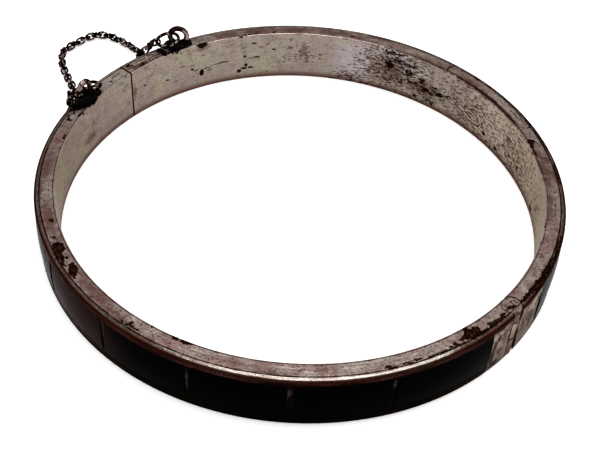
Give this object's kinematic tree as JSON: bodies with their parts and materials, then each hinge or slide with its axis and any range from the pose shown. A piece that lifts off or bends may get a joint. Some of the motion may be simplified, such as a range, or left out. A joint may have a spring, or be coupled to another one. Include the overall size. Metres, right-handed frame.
{
  "type": "silver bangle",
  "caption": "Hinged silver bangle with curved black stones let into its outer face, a tongue clasp and a fine safety chain, lying on its side.",
  "frame": {"origin": "on the bangle's axis, at the plane that its lower rim rests on", "axes": "+Z along the bangle's axis, up from the resting plane; +Y away from the picture's viewer, towards the far side; +X to the viewer's right"},
  "size_m": [0.0697, 0.0696, 0.0102],
  "materials": {
    "silver": "worn silver, brushed inside, with brown and black tarnish at the seams",
    "dark_silver": "darkened silver wire",
    "black_stone": "polished"
  },
  "bodies": {
    "root": {"front_half": "silver", "back_half": "silver", "hinge_pin": "dark_silver", "clasp_tongue": "silver", "back_jump_ring": "dark_silver", "front_jump_ring": "dark_silver", "chain_end_link": "dark_silver", "safety_chain": "dark_silver", "front_stone_1": "black_stone", "front_stone_2": "black_stone", "front_stone_3": "black_stone", "front_stone_4": "black_stone", "front_stone_5": "black_stone", "front_stone_6": "black_stone", "front_stone_7": "black_stone", "front_stone_8": "black_stone", "back_stone_1": "black_stone", "back_stone_2": "black_stone", "back_stone_3": "black_stone", "back_stone_4": "black_stone", "back_stone_5": "black_stone", "back_stone_6": "black_stone", "back_stone_7": "black_stone", "back_stone_8": "black_stone"}
  },
  "joints": []
}
